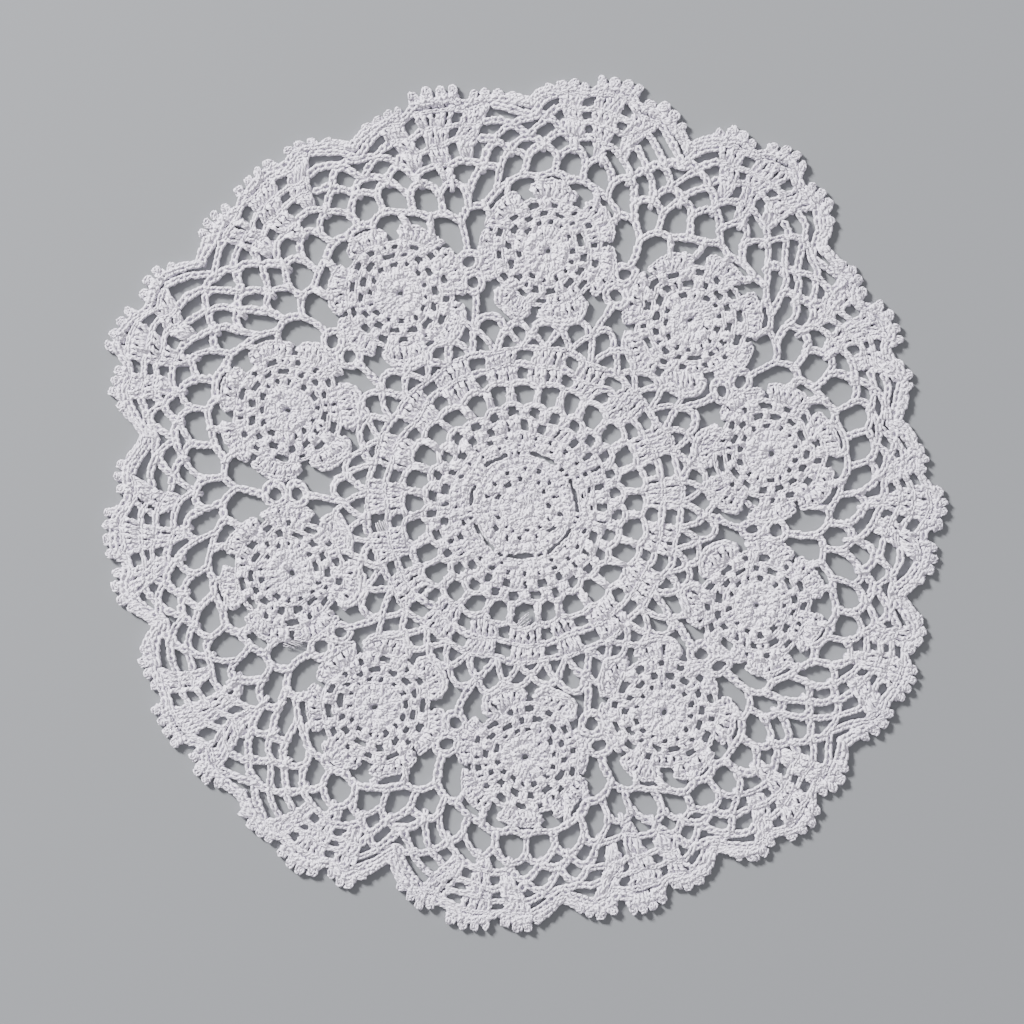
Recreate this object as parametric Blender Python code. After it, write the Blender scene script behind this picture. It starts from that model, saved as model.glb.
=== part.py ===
"""A round crocheted lace doily of white cotton, lying flat on a table.

It is one sheet of lace. From the middle outwards: a close centre, a ring of square net, a ring of
blocks, a ring of arches, ten round wheels, two rounds of open net, and fourteen scallops, each of
three fans edged with picots. The sheet has the uneven outline of the real thing, and the larger
gaps of each round are cut through. The finer stitches are left to the surface.

Sizes are in millimetres up to the last step. Angles are in degrees, counter-clockwise from +X seen
from above. Places round the net are counted in arcs, clockwise from the top wheel: seven arcs to a
wheel and five to a scallop, so seventy in all.
"""

from math import atan2, cos, degrees, floor, pi, radians, sin

import bmesh
import bpy

MM = 0.001
THICKNESS = 2.0
ARCS_PER_WHEEL = 7
ARCS_PER_SCALLOP = 5

# A row for each wheel, clockwise from the top.
# angle: where its middle lies; reach: its middle's distance from the doily's middle;
# turn: how far its outward petal is turned from pointing straight out
WHEELS = [
    dict(angle=84.9, reach=103.9, turn=-2.0),
    dict(angle=47.7, reach=101.6, turn=10.0),
    dict(angle=11.7, reach=102.3, turn=5.0),
    dict(angle=-23.7, reach=103.6, turn=-2.0),
    dict(angle=-56.1, reach=102.5, turn=-4.0),
    dict(angle=-89.7, reach=103.5, turn=-5.0),
    dict(angle=-126.1, reach=102.7, turn=0.0),
    dict(angle=-163.7, reach=100.1, turn=-2.0),
    dict(angle=-201.8, reach=104.4, turn=1.0),
    dict(angle=-239.2, reach=100.5, turn=2.5),
]

# A row for each scallop, clockwise from the notch at the top.
# angle, notch: where its first notch lies; first, middle, last: how far its three fans reach
SCALLOPS = [
    dict(angle=89.2, notch=166.0, first=176.7, middle=180.0, last=175.1),
    dict(angle=65.2, notch=161.1, first=178.4, middle=182.5, last=179.2),
    dict(angle=40.5, notch=162.8, first=166.9, middle=170.2, last=167.3),
    dict(angle=12.6, notch=157.4, first=166.5, middle=173.4, last=171.4),
    dict(angle=-13.6, notch=160.5, first=173.0, middle=176.3, last=174.7),
    dict(angle=-36.7, notch=165.0, first=174.7, middle=177.5, last=175.5),
    dict(angle=-61.0, notch=162.8, first=172.6, middle=174.3, last=172.6),
    dict(angle=-84.7, notch=163.4, first=176.3, middle=175.9, last=171.8),
    dict(angle=-110.6, notch=155.8, first=173.8, middle=176.7, last=175.5),
    dict(angle=-134.4, notch=166.9, first=174.7, middle=176.3, last=172.2),
    dict(angle=-161.9, notch=159.5, first=172.6, middle=173.4, last=168.5),
    dict(angle=-190.4, notch=158.7, first=177.5, middle=184.1, last=181.6),
    dict(angle=-216.7, notch=167.7, first=176.3, middle=177.5, last=176.3),
    dict(angle=-244.2, notch=164.0, first=171.8, middle=176.3, last=171.8),
]

# Where the gaps between the blocks lie. They are wide and narrow by turns.
BLOCK_GAPS = [
    90.0, 71.5, 54.0, 34.7, 15.0, -5.0, -22.6, -44.0, -64.0, -80.4,
    -98.6, -116.8, -135.4, -153.9, -172.9, -192.8, -211.7, -230.7, -251.3,
]

# The open net's first two rounds rise over a wheel and dip beside it.
# arcs: how far from the wheel, counted in arcs; joint: the first round's joints,
# top: the second round's tops, both as heights above the wheel's middle
NET_ROUNDS = [
    dict(arcs=0.0, joint=30.8, top=43.6),
    dict(arcs=0.5, joint=30.4, top=43.2),
    dict(arcs=1.5, joint=28.2, top=41.4),
    dict(arcs=2.5, joint=21.9, top=36.6),
    dict(arcs=3.5, joint=16.4, top=31.2),
]

# Half sizes of the gaps, along the ray from the middle and across it.
SQUARE_NET = dict(count=28, reach=45.4, along=3.0, across=4.2)
WIDE_BLOCK_GAP = dict(reach=61.2, along=2.9, across=3.9)
NARROW_BLOCK_GAP = dict(reach=61.2, along=2.9, across=3.1)
LOWER_BLOCK_GAP = dict(reach=52.6, along=2.6, across=3.0)
ARCH_GAP = dict(reach=73.8, aside=(-1.4, 0.6), along=3.7, across=3.4)
PETAL_GAP = dict(reach=26.0, turn=25.7, along=3.2, across=2.7)
INNER_VALLEY = dict(rise=-17.3, aside=0.84, along=3.8, across=4.4)
OUTER_VALLEY = dict(rise=11.6, aside=0.62, along=6.0, across=5.0)
WAIST_GAPS = [
    dict(rise=0.2, along=2.6, across=3.2),
    dict(rise=-9.0, along=2.6, across=3.0),
]
NET_GAP_ACROSS = 4.3
NET_GAP_TOP = -0.04
NET_THREAD = 1.9
EDGE_LEAN = 0.7

# Three rows of gaps lead up to each notch.
# aside: where they lie beside the notch, in arcs; low, high: how far they reach from the net's
# edge to the rim, as shares; across: half their width
NOTCH_ROWS = [
    dict(aside=(-1, 1), low=0.02, high=0.2, across=2.9),
    dict(aside=(-0.55, 0.55), low=0.24, high=0.42, across=2.4),
    dict(aside=(0,), low=0.34, high=0.6, across=2.6),
]

# The picots along the rim: a lump each, four to a fan.
PICOTS_PER_FAN = 4
FANS = 3
PICOT_RISE = 1.7
NOTCH_SHARE = 0.62
FAN_SHOULDER = 0.8
FAN_DIP = 4.0


def blend(low, high, share):
    return low * (1 - share) + high * share


def polar(reach, angle):
    return (reach * cos(radians(angle)), reach * sin(radians(angle)))


def around(rows, column, place, lap=0.0):
    """A column read between two rows of a table that closes on itself."""
    before = floor(place)

    def value(index):
        return rows[index % len(rows)][column] + lap * (index // len(rows))

    return blend(value(before), value(before + 1), place - before)


def along(rows, key, column, place):
    """A column read between two rows of a table that starts and ends."""
    for low, high in zip(rows, rows[1:]):
        if place <= high[key]:
            share = (place - low[key]) / (high[key] - low[key])
            return blend(low[column], high[column], share)
    return rows[-1][column]


def wheel_angle(arc):
    return around(WHEELS, "angle", arc / ARCS_PER_WHEEL, -360.0)


def wheel_reach(arc):
    return around(WHEELS, "reach", arc / ARCS_PER_WHEEL)


def rim_angle(arc):
    return around(SCALLOPS, "angle", (arc + 1) / ARCS_PER_SCALLOP, -360.0)


def from_wheel(arc):
    """How many arcs a place lies from the nearest wheel."""
    half = ARCS_PER_WHEEL / 2
    return abs((arc + half) % ARCS_PER_WHEEL - half)


def net_joint(arc):
    return wheel_reach(arc) + along(NET_ROUNDS, "arcs", "joint", from_wheel(arc))


def net_top(arc):
    return wheel_reach(arc) + along(NET_ROUNDS, "arcs", "top", from_wheel(arc))


def rim_reach(arc):
    """The rim without its picots: three fans to a scallop, between two notches."""
    number = floor((arc + 1) / ARCS_PER_SCALLOP)
    here = SCALLOPS[number % len(SCALLOPS)]
    after = SCALLOPS[(number + 1) % len(SCALLOPS)]
    profile = [
        dict(arcs=0.0, reach=here["notch"]),
        dict(arcs=0.45, reach=blend(here["notch"], here["first"], NOTCH_SHARE)),
        dict(arcs=1.0, reach=here["first"]),
        dict(arcs=1.42, reach=here["first"] - FAN_SHOULDER),
        dict(arcs=1.67, reach=blend(here["first"], here["middle"], 0.5) - FAN_DIP),
        dict(arcs=1.92, reach=here["middle"] - FAN_SHOULDER),
        dict(arcs=2.5, reach=here["middle"]),
        dict(arcs=3.08, reach=here["middle"] - FAN_SHOULDER),
        dict(arcs=3.33, reach=blend(here["middle"], here["last"], 0.5) - FAN_DIP),
        dict(arcs=3.58, reach=here["last"] - FAN_SHOULDER),
        dict(arcs=4.0, reach=here["last"]),
        dict(arcs=4.55, reach=blend(after["notch"], here["last"], NOTCH_SHARE)),
        dict(arcs=5.0, reach=after["notch"]),
    ]
    return along(profile, "arcs", "reach", arc + 1 - ARCS_PER_SCALLOP * number)


def border_point(arc, share):
    """A point of the border: share 0 is the net's edge, and share 1 the rim."""
    lean = min(EDGE_LEAN + share, 1.0)
    angle = blend(wheel_angle(arc), rim_angle(arc), lean)
    return polar(blend(net_top(arc), rim_reach(arc), share), angle)


def outline():
    """The rim: a notch between scallops, and four picots along each fan, as three points each."""
    points = []
    lumps = PICOTS_PER_FAN * FANS
    for number in range(len(SCALLOPS)):
        notch = ARCS_PER_SCALLOP * number - 1
        for lump in range(lumps):
            for step, rise in [(0.0, -PICOT_RISE), (0.28, 0.0), (0.72, 0.0)]:
                arc = notch + ARCS_PER_SCALLOP * (lump + step) / lumps
                drop = 0.0 if lump == 0 and step == 0.0 else rise
                points.append(polar(rim_reach(arc) + drop, rim_angle(arc)))
    return points


def gap(middle, half_along, half_across, angle=None):
    """Six points round a middle, with a corner at each end of its line along the ray."""
    if angle is None:
        angle = degrees(atan2(middle[1], middle[0]))
    ray, side = polar(1.0, angle), polar(1.0, angle + 90)
    points = []
    for corner in range(6):
        turn = 2 * pi * corner / 6
        out, off = half_along * cos(turn), half_across * sin(turn) / sin(pi / 3)
        points.append((
            middle[0] + out * ray[0] + off * side[0],
            middle[1] + out * ray[1] + off * side[1],
        ))
    return points


def cell(low, high, half_across):
    """A gap that reaches from one point of the net to another."""
    half = ((high[0] - low[0]) / 2, (high[1] - low[1]) / 2)
    middle = (low[0] + half[0], low[1] + half[1])
    length = (half[0] ** 2 + half[1] ** 2) ** 0.5
    return gap(middle, length, half_across, degrees(atan2(half[1], half[0])))


def centre_gaps():
    """The square net round the close centre, and the two holes between each pair of blocks."""
    gaps = []
    for number in range(SQUARE_NET["count"]):
        angle = 90 + 360 * number / SQUARE_NET["count"]
        middle = polar(SQUARE_NET["reach"], angle)
        gaps.append(gap(middle, SQUARE_NET["along"], SQUARE_NET["across"], angle))
    for number, angle in enumerate(BLOCK_GAPS):
        wide = number % 2 == 0
        upper = WIDE_BLOCK_GAP if wide else NARROW_BLOCK_GAP
        gaps.append(gap(polar(upper["reach"], angle), upper["along"], upper["across"]))
        if not wide:
            lower = LOWER_BLOCK_GAP
            gaps.append(gap(polar(lower["reach"], angle), lower["along"], lower["across"]))
    return gaps


def wheel_gaps(number):
    """Beside one wheel's outward petal, and in the valley after it."""
    gaps = []
    wheel = WHEELS[number]
    middle = polar(wheel["reach"], wheel["angle"])
    valley = ARCS_PER_WHEEL * (number + 0.5)
    for aside in ARCH_GAP["aside"]:
        place = polar(ARCH_GAP["reach"], wheel_angle(valley + aside))
        gaps.append(gap(place, ARCH_GAP["along"], ARCH_GAP["across"]))
    for side in (-1, 1):
        out = polar(PETAL_GAP["reach"], wheel["angle"] + wheel["turn"] + side * PETAL_GAP["turn"])
        place = (middle[0] + out[0], middle[1] + out[1])
        gaps.append(gap(place, PETAL_GAP["along"], PETAL_GAP["across"]))
        for hole in (INNER_VALLEY, OUTER_VALLEY):
            reach = wheel_reach(valley) + hole["rise"]
            place = polar(reach, wheel_angle(valley + side * hole["aside"]))
            gaps.append(gap(place, hole["along"], hole["across"]))
    for hole in WAIST_GAPS:
        place = polar(wheel_reach(valley) + hole["rise"], wheel_angle(valley))
        gaps.append(gap(place, hole["along"], hole["across"]))
    return gaps


def net_gaps():
    """The round of large holes outside the wheels, one for each arc."""
    gaps = []
    for number in range(ARCS_PER_WHEEL * len(WHEELS)):
        arc = number + 0.5
        low = polar(net_joint(arc) + NET_THREAD / 2, wheel_angle(arc))
        gaps.append(cell(low, border_point(arc, NET_GAP_TOP), NET_GAP_ACROSS))
    return gaps


def notch_gaps(number):
    """The holes that lead up to a notch, in rows that close in on it."""
    notch = ARCS_PER_SCALLOP * number - 1
    gaps = []
    for row in NOTCH_ROWS:
        for aside in row["aside"]:
            low = border_point(notch + aside, row["low"])
            high = border_point(notch + aside, row["high"])
            gaps.append(cell(low, high, row["across"]))
    return gaps


def flat_curve(name, loops):
    """A filled 2D curve: the first loop is the outline, and the others are holes."""
    data = bpy.data.curves.new(name, "CURVE")
    data.dimensions = "2D"
    data.fill_mode = "BOTH"
    data.extrude = THICKNESS * MM / 2
    for points in loops:
        spline = data.splines.new("POLY")
        spline.points.add(len(points) - 1)
        for point, (x, y) in zip(spline.points, points):
            point.co = (x * MM, y * MM, 0.0, 1.0)
        spline.use_cyclic_u = True
    return bpy.data.objects.new(name, data)


def cotton():
    material = bpy.data.materials.new("white cotton")
    material.use_nodes = True
    shader = material.node_tree.nodes["Principled BSDF"]
    shader.inputs["Base Color"].default_value = (0.78, 0.76, 0.82, 1.0)
    shader.inputs["Roughness"].default_value = 0.85
    shader.inputs["Metallic"].default_value = 0.0
    return material


def sheet(collection):
    """The lace sheet, centred on its own outline and resting on the ground."""
    rim = outline()
    loops = [rim] + centre_gaps()
    for number in range(len(WHEELS)):
        loops += wheel_gaps(number)
    loops += net_gaps()
    for number in range(len(SCALLOPS)):
        loops += notch_gaps(number)
    curve = flat_curve("doily outline", loops)
    middle_x = (min(x for x, _ in rim) + max(x for x, _ in rim)) / 2
    middle_y = (min(y for _, y in rim) + max(y for _, y in rim)) / 2
    curve.location = (-middle_x * MM, -middle_y * MM, THICKNESS * MM / 2)
    collection.objects.link(curve)
    bpy.context.view_layer.update()
    evaluated = curve.evaluated_get(bpy.context.evaluated_depsgraph_get())
    mesh = bpy.data.meshes.new_from_object(evaluated)
    mesh.name = "doily"
    welded = bmesh.new()
    welded.from_mesh(mesh)
    bmesh.ops.remove_doubles(welded, verts=welded.verts, dist=0.01 * MM)
    welded.to_mesh(mesh)
    welded.free()
    doily = bpy.data.objects.new("doily", mesh)
    doily.matrix_world = curve.matrix_world
    collection.objects.link(doily)
    bpy.data.objects.remove(curve)
    mesh.materials.clear()
    mesh.materials.append(cotton())
    return doily


def main():
    for item in list(bpy.data.objects):
        bpy.data.objects.remove(item)
    collection = bpy.data.collections.new("lace doily")
    bpy.context.scene.collection.children.link(collection)
    sheet(collection)


main()
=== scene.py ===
# %% [markdown]
# # A crocheted lace doily
# The real doily is one long cotton thread, worked round and round into a flat sheet of lace. The
# frame holds that sheet as one plain solid. This lesson gives it its stitches: over twelve
# thousand loops and posts of thread, each a little uneven, on a thin web that keeps the sheet in
# one piece. Sizes are in millimetres until a mesh is made, and then in metres.

# %% Load the frame
from math import floor

import bpy
import numpy as np
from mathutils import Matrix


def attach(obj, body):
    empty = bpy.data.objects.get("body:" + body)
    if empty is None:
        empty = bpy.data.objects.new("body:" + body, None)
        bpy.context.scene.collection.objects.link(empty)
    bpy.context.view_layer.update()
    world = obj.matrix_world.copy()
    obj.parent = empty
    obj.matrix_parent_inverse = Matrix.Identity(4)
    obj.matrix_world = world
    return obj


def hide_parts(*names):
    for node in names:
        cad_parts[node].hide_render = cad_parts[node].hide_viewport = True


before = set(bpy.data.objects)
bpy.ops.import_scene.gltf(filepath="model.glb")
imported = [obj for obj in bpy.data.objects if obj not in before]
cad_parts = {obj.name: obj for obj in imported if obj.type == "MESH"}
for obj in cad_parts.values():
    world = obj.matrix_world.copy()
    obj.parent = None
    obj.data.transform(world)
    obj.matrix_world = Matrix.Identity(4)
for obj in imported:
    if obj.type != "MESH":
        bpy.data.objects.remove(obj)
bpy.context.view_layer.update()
bpy.ops.object.select_all(action="DESELECT")
MM = 0.001

# %% [markdown]
# ## The chart
# A crochet chart says where each round lies. It could be drawn stitch by stitch, but the lace
# repeats: ten wheels of seven arcs each, and fourteen scallops of five arcs each, so seventy arcs
# in all. A few tables hold what is uneven on the real one, and places between their rows are
# blended. Angles are in degrees, counter-clockwise from +X. Arcs are counted clockwise from the
# top wheel.

# %% Tables of the chart
ARCS_PER_WHEEL = 7
ARCS_PER_SCALLOP = 5


def table(columns, rows):
    """Rows of numbers as dicts, by the names of their columns. A row may end early."""
    return [dict(zip(columns.split(), row)) for row in rows]


# Where each wheel's middle lies, and how far its outward petal is turned.
WHEELS = table("angle reach turn", [
    (84.9, 103.9, -2.0), (47.7, 101.6, 10.0), (11.7, 102.3, 5.0), (-23.7, 103.6, -2.0),
    (-56.1, 102.5, -4.0), (-89.7, 103.5, -5.0), (-126.1, 102.7, 0.0), (-163.7, 100.1, -2.0),
    (-201.8, 104.4, 1.0), (-239.2, 100.5, 2.5),
])

# Where each scallop's first notch lies, and how far its three fans reach.
SCALLOPS = table("angle notch first middle last", [
    (89.2, 166.0, 176.7, 180.0, 175.1), (65.2, 161.1, 178.4, 182.5, 179.2),
    (40.5, 162.8, 166.9, 170.2, 167.3), (12.6, 157.4, 166.5, 173.4, 171.4),
    (-13.6, 160.5, 173.0, 176.3, 174.7), (-36.7, 165.0, 174.7, 177.5, 175.5),
    (-61.0, 162.8, 172.6, 174.3, 172.6), (-84.7, 163.4, 176.3, 175.9, 171.8),
    (-110.6, 155.8, 173.8, 176.7, 175.5), (-134.4, 166.9, 174.7, 176.3, 172.2),
    (-161.9, 159.5, 172.6, 173.4, 168.5), (-190.4, 158.7, 177.5, 184.1, 181.6),
    (-216.7, 167.7, 176.3, 177.5, 176.3), (-244.2, 164.0, 171.8, 176.3, 171.8),
])

# Where the gaps between the blocks lie. They are wide and narrow by turns.
BLOCK_GAPS = [
    90.0, 71.5, 54.0, 34.7, 15.0, -5.0, -22.6, -44.0, -64.0, -80.4,
    -98.6, -116.8, -135.4, -153.9, -172.9, -192.8, -211.7, -230.7, -251.3,
]

# By the arcs from a wheel: how high the net's joints and tops lie above the wheel's middle.
NET_ROUNDS = table("arcs joint top", [
    (0.0, 30.8, 43.6), (0.5, 30.4, 43.2), (1.5, 28.2, 41.4), (2.5, 21.9, 36.6), (3.5, 16.4, 31.2),
])
EDGE_LEAN = 0.7
PICOTS_PER_FAN = 4
FANS = 3
PICOT_RISE = 1.7
NOTCH_SHARE = 0.62
FAN_SHOULDER = 0.8
FAN_DIP = 4.0
ARCS = ARCS_PER_WHEEL * len(WHEELS)
print("arcs round the doily:", ARCS, ARCS_PER_SCALLOP * len(SCALLOPS))


# %% Places on the chart
def blend(low, high, share):
    return low * (1 - share) + high * share


def polar(reach, angle):
    return np.array((reach * np.cos(np.radians(angle)), reach * np.sin(np.radians(angle))))


def around(rows, column, place, lap=0.0):
    """A column read between two rows of a table that closes on itself."""
    before = floor(place)

    def value(index):
        return rows[index % len(rows)][column] + lap * (index // len(rows))

    return blend(value(before), value(before + 1), place - before)


def wheel_angle(arc):
    return around(WHEELS, "angle", arc / ARCS_PER_WHEEL, -360.0)


def wheel_reach(arc):
    return around(WHEELS, "reach", arc / ARCS_PER_WHEEL)


def rim_angle(arc):
    return around(SCALLOPS, "angle", (arc + 1) / ARCS_PER_SCALLOP, -360.0)


def from_wheel(arc):
    """How many arcs a place lies from the nearest wheel."""
    half = ARCS_PER_WHEEL / 2
    return abs((arc + half) % ARCS_PER_WHEEL - half)


def net_reach(arc, column):
    """How far out a place of the net's joints or tops lies."""
    arcs, rises = ([row[name] for row in NET_ROUNDS] for name in ("arcs", column))
    return wheel_reach(arc) + np.interp(from_wheel(arc), arcs, rises)


# %% Places of the border and the wheels
def rim_reach(arc):
    """The rim without its picots: three fans to a scallop, between two notches."""
    number = floor((arc + 1) / ARCS_PER_SCALLOP)
    here = SCALLOPS[number % len(SCALLOPS)]
    after = SCALLOPS[(number + 1) % len(SCALLOPS)]
    first, middle, last = here["first"], here["middle"], here["last"]
    places, reaches = zip(
        (0.0, here["notch"]), (0.45, blend(here["notch"], first, NOTCH_SHARE)),
        (1.0, first), (1.42, first - FAN_SHOULDER), (1.67, blend(first, middle, 0.5) - FAN_DIP),
        (1.92, middle - FAN_SHOULDER), (2.5, middle), (3.08, middle - FAN_SHOULDER),
        (3.33, blend(middle, last, 0.5) - FAN_DIP), (3.58, last - FAN_SHOULDER), (4.0, last),
        (4.55, blend(after["notch"], last, NOTCH_SHARE)), (5.0, after["notch"]),
    )
    return np.interp(arc + 1 - ARCS_PER_SCALLOP * number, places, reaches)


def border_point(arc, share):
    """A point of the border: share 0 is the net's edge, and share 1 the rim."""
    lean = min(EDGE_LEAN + max(share, 0.0), 1.0)
    angle = blend(wheel_angle(arc), rim_angle(arc), lean)
    return polar(blend(net_reach(arc, "top"), rim_reach(arc), share), angle)


def net_point(arc, rise=0.0):
    """A point of the net's first round, rise above the line of its joints."""
    return polar(net_reach(arc, "joint") + rise, wheel_angle(arc))


def wheel_middle(number):
    return polar(WHEELS[number]["reach"], WHEELS[number]["angle"])


def wheel_point(number, reach, angle):
    """A point of a wheel, its angle counted from the outward petal."""
    wheel = WHEELS[number]
    return wheel_middle(number) + polar(reach, wheel["angle"] + wheel["turn"] + angle)


def valley_point(number, rise, aside=0.0):
    """A point in the valley after a wheel, rise above the wheels' middles and aside of its line."""
    arc = ARCS_PER_WHEEL * (number + 0.5)
    angle = wheel_angle(arc)
    return polar(wheel_reach(arc) + rise, angle) + polar(aside, angle - 90)


def outline():
    """The rim: a notch between scallops, and four picots along each fan, as three points each."""
    points = []
    lumps = PICOTS_PER_FAN * FANS
    for number in range(len(SCALLOPS)):
        notch = ARCS_PER_SCALLOP * number - 1
        for lump in range(lumps):
            for step, rise in [(0.0, -PICOT_RISE), (0.28, 0.0), (0.72, 0.0)]:
                arc = notch + ARCS_PER_SCALLOP * (lump + step) / lumps
                drop = 0.0 if lump == 0 and step == 0.0 else rise
                points.append(polar(rim_reach(arc) + drop, rim_angle(arc)))
    return np.array(points)


rim = outline()
MIDDLE = (rim.min(axis=0) + rim.max(axis=0)) / 2
print("rim:", np.round(np.ptp(rim, axis=0), 1), "mm, middle", np.round(MIDDLE, 2))

# %% [markdown]
# ## Camera, floor and light
# The doily is seen from straight above. A camera could stand anywhere over it, but a long lens
# from about a metre up keeps the lace free of perspective. The floor is plain and a little darker
# than the cotton, so that the holes read, and large soft lamps from one side show the relief of
# the stitches.

# %% Camera over the table
def dial(node, **values):
    """Sets a node's inputs, each named as in Blender, with _ for a space."""
    for name, value in values.items():
        node.inputs[name.replace("_", " ")].default_value = value


VIEW_WIDTH = 419.8
VIEW_MIDDLE = (-5.1, -3.1)
LENS = 85.0
SENSOR = 36.0
camera_data = bpy.data.cameras.new("camera")
camera_data.lens = LENS
camera_data.sensor_width = SENSOR
camera = bpy.data.objects.new("camera", camera_data)
bpy.context.scene.collection.objects.link(camera)
height = VIEW_WIDTH * LENS / SENSOR
camera.location = (
    (VIEW_MIDDLE[0] - MIDDLE[0]) * MM, (VIEW_MIDDLE[1] - MIDDLE[1]) * MM, height * MM,
)
bpy.context.scene.camera = camera
print("camera height:", round(height), "mm")

# %% Floor
bpy.ops.mesh.primitive_plane_add(size=6.0, location=(0, 0, 0))
floor_piece = bpy.context.object
floor_piece.name = "floor"
floor_paint = bpy.data.materials.new("pale floor")
floor_paint.use_nodes = True
floor_shader = floor_paint.node_tree.nodes["Principled BSDF"]
dial(floor_shader, Base_Color=(0.23, 0.237, 0.25, 1.0), Roughness=0.9)
floor_piece.data.materials.append(floor_paint)

# %% Soft lamps
# columns: name, place in metres, size in metres, power in watts
LAMPS = [
    ("key", (-2.6, 2.4, 1.65), 0.68, 560.0),
    ("fill", (2.4, -1.0, 2.6), 2.8, 24.0),
]
for name, place, size, power in LAMPS:
    lamp_data = bpy.data.lights.new(name, "AREA")
    lamp_data.size = size
    lamp_data.energy = power
    lamp = bpy.data.objects.new(name, lamp_data)
    lamp.location = place
    bpy.context.scene.collection.objects.link(lamp)
    aim = lamp.constraints.new("TRACK_TO")
    aim.target = floor_piece
world = bpy.data.worlds.new("studio")
world.use_nodes = True
dial(world.node_tree.nodes["Background"], Color=(0.96, 0.95, 1.0, 1.0), Strength=0.48)
bpy.context.scene.world = world
print("lamps:", [name for name, *_ in LAMPS])

# %% [markdown]
# ## Cotton
# Crochet cotton is several plies twisted together, with a soft down of short fibres. The twist
# could be modelled, but that is far too fine for thousands of stitches, so it is bump, with painted
# shade in the grooves between the plies. Every tube of thread gets a UV map, with millimetres along
# the thread and one turn round it, and the plies run slantwise across that map. The twist and the
# down are a node group each, because the web below the thread has the same down without the twist.


# %% Node helpers
def new_group(name, inputs, outputs):
    """A shader node group with float inputs and outputs of the given kinds."""
    group = bpy.data.node_groups.new(name, "ShaderNodeTree")
    for title, kind, value in inputs:
        socket = group.interface.new_socket(title, in_out="INPUT", socket_type=kind)
        if value is not None:
            socket.default_value = value
    for title, kind in outputs:
        group.interface.new_socket(title, in_out="OUTPUT", socket_type=kind)
    return group, group.nodes.new("NodeGroupInput"), group.nodes.new("NodeGroupOutput")


def math_node(tree, operation, first, second=None):
    """A Math node whose inputs are sockets or numbers."""
    node = tree.nodes.new("ShaderNodeMath")
    node.operation = operation
    for index, value in enumerate((first, second)):
        if value is None:
            continue
        if isinstance(value, (int, float)):
            node.inputs[index].default_value = value
        else:
            tree.links.new(value, node.inputs[index])
    return node.outputs[0]


# %% Ply twist
def make_twist_group():
    """Ridges that wind round a thread: high on a ply, low between two."""
    group, given, result = new_group(
        "ply twist",
        [
            ("Thread", "NodeSocketVector", None),
            ("Pitch", "NodeSocketFloat", 1.6),
            ("Plies", "NodeSocketFloat", 3.0),
        ],
        [("Height", "NodeSocketFloat")],
    )
    split = group.nodes.new("ShaderNodeSeparateXYZ")
    group.links.new(given.outputs["Thread"], split.inputs[0])
    lengthwise = math_node(group, "DIVIDE", split.outputs["X"], given.outputs["Pitch"])
    turn = math_node(group, "MULTIPLY", split.outputs["Y"], given.outputs["Plies"])
    phase = math_node(group, "ADD", lengthwise, turn)
    wave = math_node(group, "SINE", math_node(group, "MULTIPLY", phase, 2 * np.pi))
    ridge = math_node(group, "MULTIPLY_ADD", wave, 0.5)
    ridge.node.inputs[2].default_value = 0.5
    group.links.new(ridge, result.inputs["Height"])
    return group


twist_group = make_twist_group()
print("group:", twist_group.name)


# %% Cotton down
def make_down_group():
    """Short fibres: a fine grain for the bump, and a slow drift of tone over the cloth."""
    group, given, result = new_group(
        "cotton down",
        [
            ("Place", "NodeSocketVector", None),
            ("Grain", "NodeSocketFloat", 2600.0),
            ("Drift", "NodeSocketFloat", 28.0),
        ],
        [("Height", "NodeSocketFloat"), ("Tone", "NodeSocketFloat")],
    )
    grain = group.nodes.new("ShaderNodeTexNoise")
    drift = group.nodes.new("ShaderNodeTexNoise")
    dial(grain, Detail=2.0)
    dial(drift, Detail=3.0, Roughness=0.7)
    for node, size in ((grain, "Grain"), (drift, "Drift")):
        group.links.new(given.outputs["Place"], node.inputs["Vector"])
        group.links.new(given.outputs[size], node.inputs["Scale"])
    group.links.new(grain.outputs["Fac"], result.inputs["Height"])
    group.links.new(drift.outputs["Fac"], result.inputs["Tone"])
    return group


down_group = make_down_group()
print("group:", down_group.name)


# %% Cotton material
DOWN_RELIEF = 0.35
PLY_PAINTED_SHADE = 0.35
DRIFT_TONE = 0.8
BUMP_DEPTH = 0.2


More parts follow.
